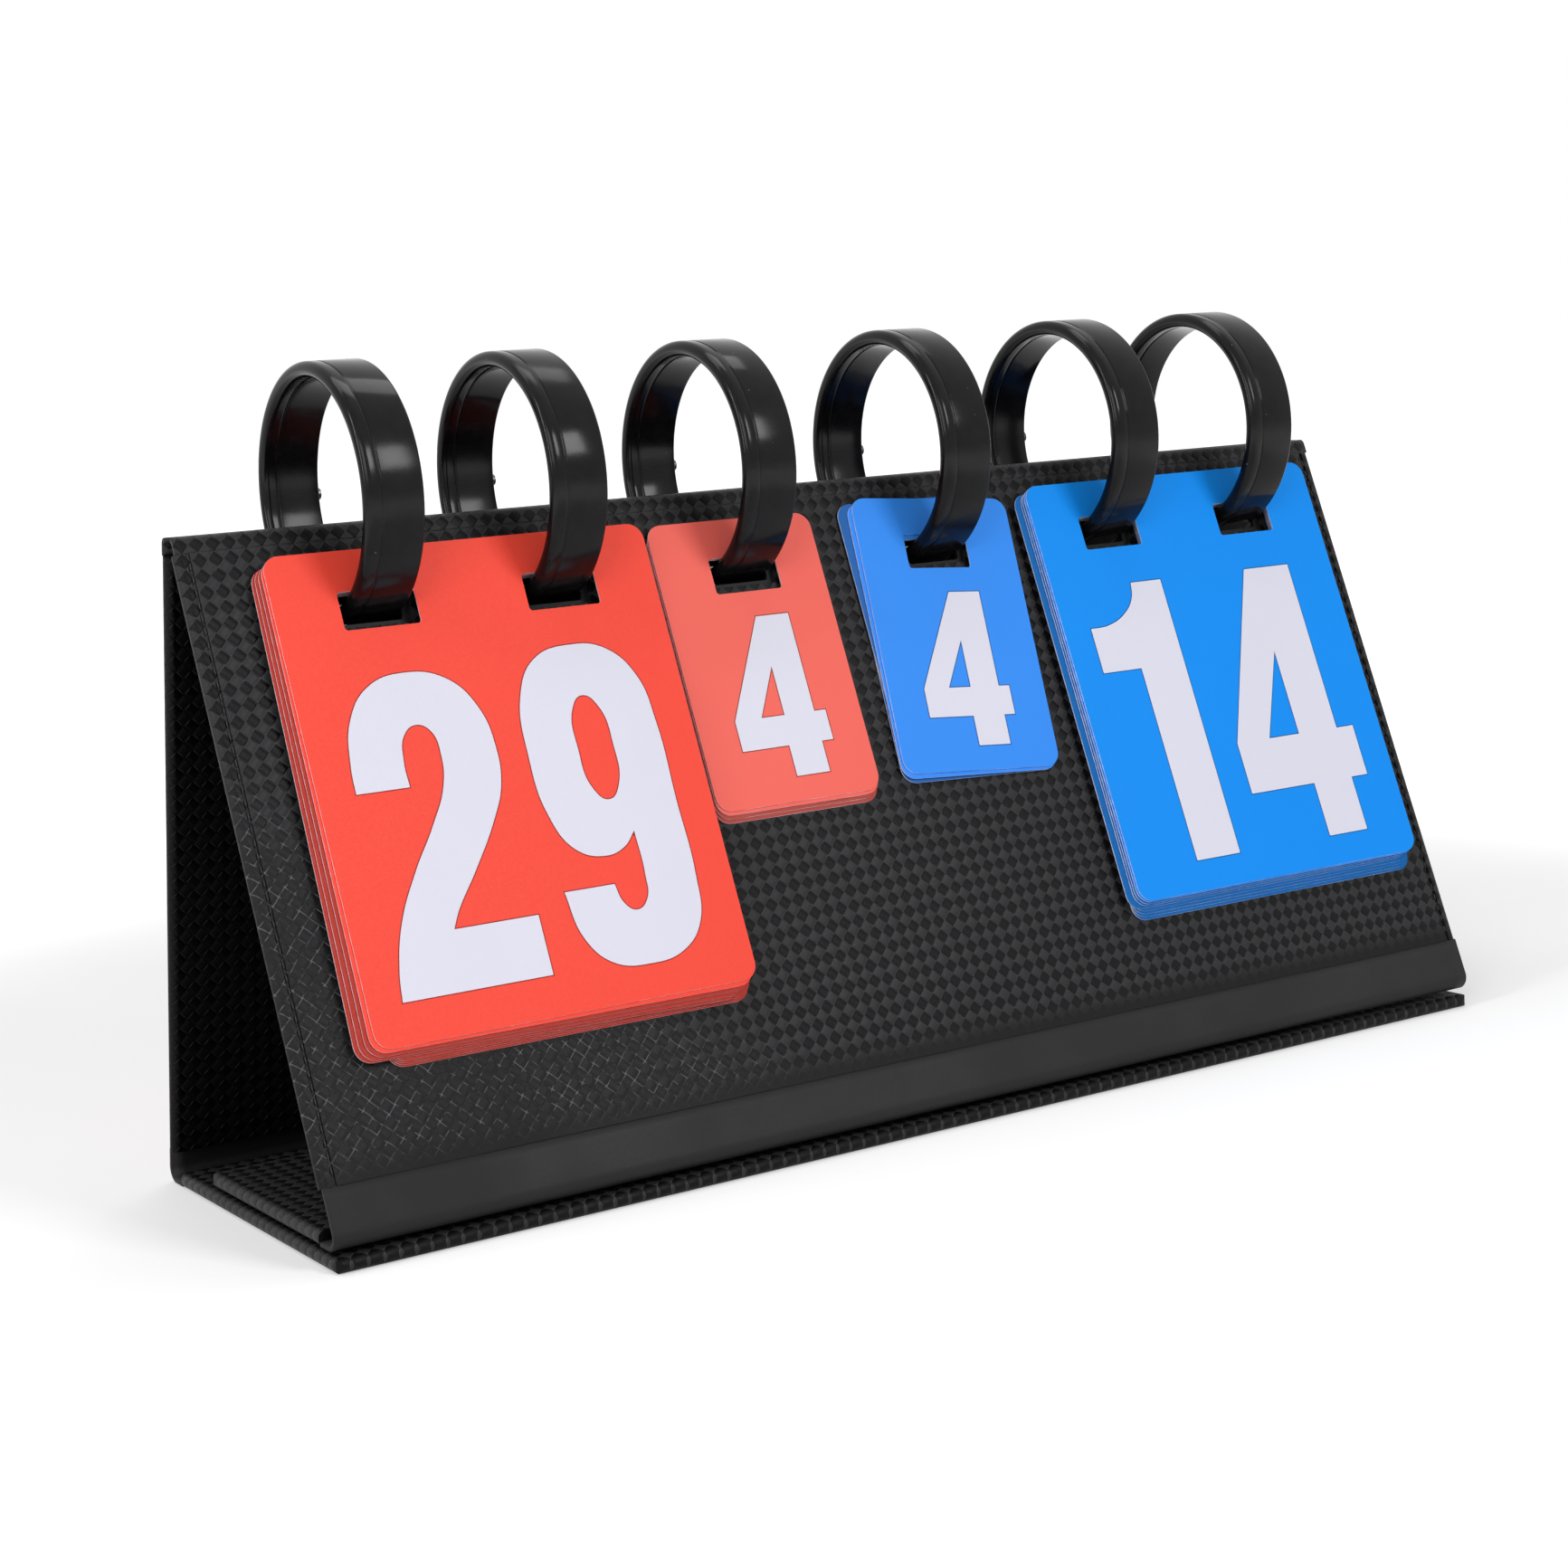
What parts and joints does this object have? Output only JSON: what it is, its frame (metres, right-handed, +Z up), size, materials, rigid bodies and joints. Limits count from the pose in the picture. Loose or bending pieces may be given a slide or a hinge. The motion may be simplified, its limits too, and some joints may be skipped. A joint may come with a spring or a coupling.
{
  "type": "tabletop flip scoreboard",
  "caption": "Folding tabletop flip scoreboard: a tent of leatherette-covered boards with wide rings that carry piles of number cards.",
  "frame": {"origin": "centre of the footprint, on the surface the board stands on", "axes": "+X along the case to the players' right as they face it, +Y from the players' side to the back, +Z up"},
  "size_m": [0.385, 0.109, 0.2186],
  "materials": {
    "cover": "black embossed leatherette with a diagonal woven pattern",
    "lining": "plain matt black leatherette",
    "greyboard": "raw grey board",
    "closure": "black hook and loop tape",
    "ring_plastic": "polished black plastic",
    "pin_steel": "plain steel",
    "card_red": "satin coated card, red",
    "card_blue": "satin coated card, blue",
    "card_small_blue": "satin coated card, blue"
  },
  "bodies": {
    "lower_flap": {"lower_flap_cover": "cover", "lower_flap_lining": "lining", "lower_flap_board": "greyboard", "loop_pads": "closure"},
    "back_panel": {"back_cover": "cover", "back_lining": "lining", "back_board": "greyboard", "back_bend_hinge": "cover", "back_pile_red_large": "card_red", "back_pile_red_small": "card_red", "back_pile_blue_small": "card_small_blue", "back_pile_blue_large": "card_blue"},
    "spine": {"spine_cover": "cover", "spine_lining": "lining", "ridge_back_hinge": "cover", "ridge_front_hinge": "cover"},
    "front_panel": {"front_cover": "cover", "front_lining": "lining", "front_board": "greyboard", "front_bend_hinge": "cover", "front_pile_red_large": "card_red", "front_pile_red_small": "card_red", "front_pile_blue_small": "card_small_blue", "front_pile_blue_large": "card_blue"},
    "upper_flap": {"upper_flap_cover": "cover", "upper_flap_lining": "lining", "upper_flap_board": "greyboard", "hook_pads": "closure"},
    "ring_1": {"ring_1_upper": "ring_plastic", "ring_1_lower": "ring_plastic", "ring_1_pin": "pin_steel"},
    "ring_2": {"ring_2_upper": "ring_plastic", "ring_2_lower": "ring_plastic", "ring_2_pin": "pin_steel"},
    "ring_3": {"ring_3_upper": "ring_plastic", "ring_3_lower": "ring_plastic", "ring_3_pin": "pin_steel"},
    "ring_4": {"ring_4_upper": "ring_plastic", "ring_4_lower": "ring_plastic", "ring_4_pin": "pin_steel"},
    "ring_5": {"ring_5_upper": "ring_plastic", "ring_5_lower": "ring_plastic", "ring_5_pin": "pin_steel"},
    "ring_6": {"ring_6_upper": "ring_plastic", "ring_6_lower": "ring_plastic", "ring_6_pin": "pin_steel"},
    "card_red_large": {"top_card_red_large": "card_red"},
    "card_red_small": {"top_card_red_small": "card_red"},
    "card_blue_small": {"top_card_blue_small": "card_small_blue"},
    "card_blue_large": {"top_card_blue_large": "card_blue"}
  },
  "joints": [
    {"name": "back_fold", "type": "hinge", "parent": "lower_flap", "child": "back_panel", "pos_m": [0, 0.0509, 0.004], "axis": [-1, 0, 0], "range_deg": [0, 101.6], "deforming": ["back_bend_hinge"]},
    {"name": "ridge_back_fold", "type": "hinge", "parent": "back_panel", "child": "spine", "pos_m": [0, 0.01777, 0.1744], "axis": [-1, 0, 0], "range_deg": [0, 45], "deforming": ["ridge_back_hinge"]},
    {"name": "ridge_front_fold", "type": "hinge", "parent": "spine", "child": "front_panel", "pos_m": [0, 0.01375, 0.1744], "axis": [-1, 0, 0], "range_deg": [0, 45], "deforming": ["ridge_front_hinge"]},
    {"name": "upper_flap_fold", "type": "hinge", "parent": "front_panel", "child": "upper_flap", "pos_m": [0, -0.0501, 0.00925], "axis": [1, 0, 0], "range_deg": [0, 60], "deforming": ["front_bend_hinge"]},
    {"name": "ring_1_ride", "type": "slide", "parent": "spine", "child": "ring_1", "axis": [0, 0, 1], "range_m": [0, 0.0024]},
    {"name": "ring_2_ride", "type": "slide", "parent": "spine", "child": "ring_2", "axis": [0, 0, 1], "range_m": [0, 0.0024]},
    {"name": "ring_3_ride", "type": "slide", "parent": "spine", "child": "ring_3", "axis": [0, 0, 1], "range_m": [0, 0.0024]},
    {"name": "ring_4_ride", "type": "slide", "parent": "spine", "child": "ring_4", "axis": [0, 0, 1], "range_m": [0, 0.0024]},
    {"name": "ring_5_ride", "type": "slide", "parent": "spine", "child": "ring_5", "axis": [0, 0, 1], "range_m": [0, 0.0024]},
    {"name": "ring_6_ride", "type": "slide", "parent": "spine", "child": "ring_6", "axis": [0, 0, 1], "range_m": [0, 0.0024]},
    {"name": "flip_red_large", "type": "hinge", "parent": "front_panel", "child": "card_red_large", "pos_m": [0, 0.0187, 0.1839], "axis": [1, 0, 0], "range_deg": [-299, 0]},
    {"name": "flip_red_small", "type": "hinge", "parent": "front_panel", "child": "card_red_small", "pos_m": [0, 0.0187, 0.1839], "axis": [1, 0, 0], "range_deg": [-306, 0]},
    {"name": "flip_blue_small", "type": "hinge", "parent": "front_panel", "child": "card_blue_small", "pos_m": [0, 0.0187, 0.1839], "axis": [1, 0, 0], "range_deg": [-306, 0]},
    {"name": "flip_blue_large", "type": "hinge", "parent": "front_panel", "child": "card_blue_large", "pos_m": [0, 0.0187, 0.1839], "axis": [1, 0, 0], "range_deg": [-299, 0]}
  ],
  "couplings": [
    {"joint": "ridge_front_fold", "follows": "ridge_back_fold", "ratio": 1},
    {"joint": "ring_1_ride", "follows": "ridge_back_fold", "m_per_rad": 0.003},
    {"joint": "ring_2_ride", "follows": "ridge_back_fold", "m_per_rad": 0.003},
    {"joint": "ring_3_ride", "follows": "ridge_back_fold", "m_per_rad": 0.003},
    {"joint": "ring_4_ride", "follows": "ridge_back_fold", "m_per_rad": 0.003},
    {"joint": "ring_5_ride", "follows": "ridge_back_fold", "m_per_rad": 0.003},
    {"joint": "ring_6_ride", "follows": "ridge_back_fold", "m_per_rad": 0.003}
  ]
}
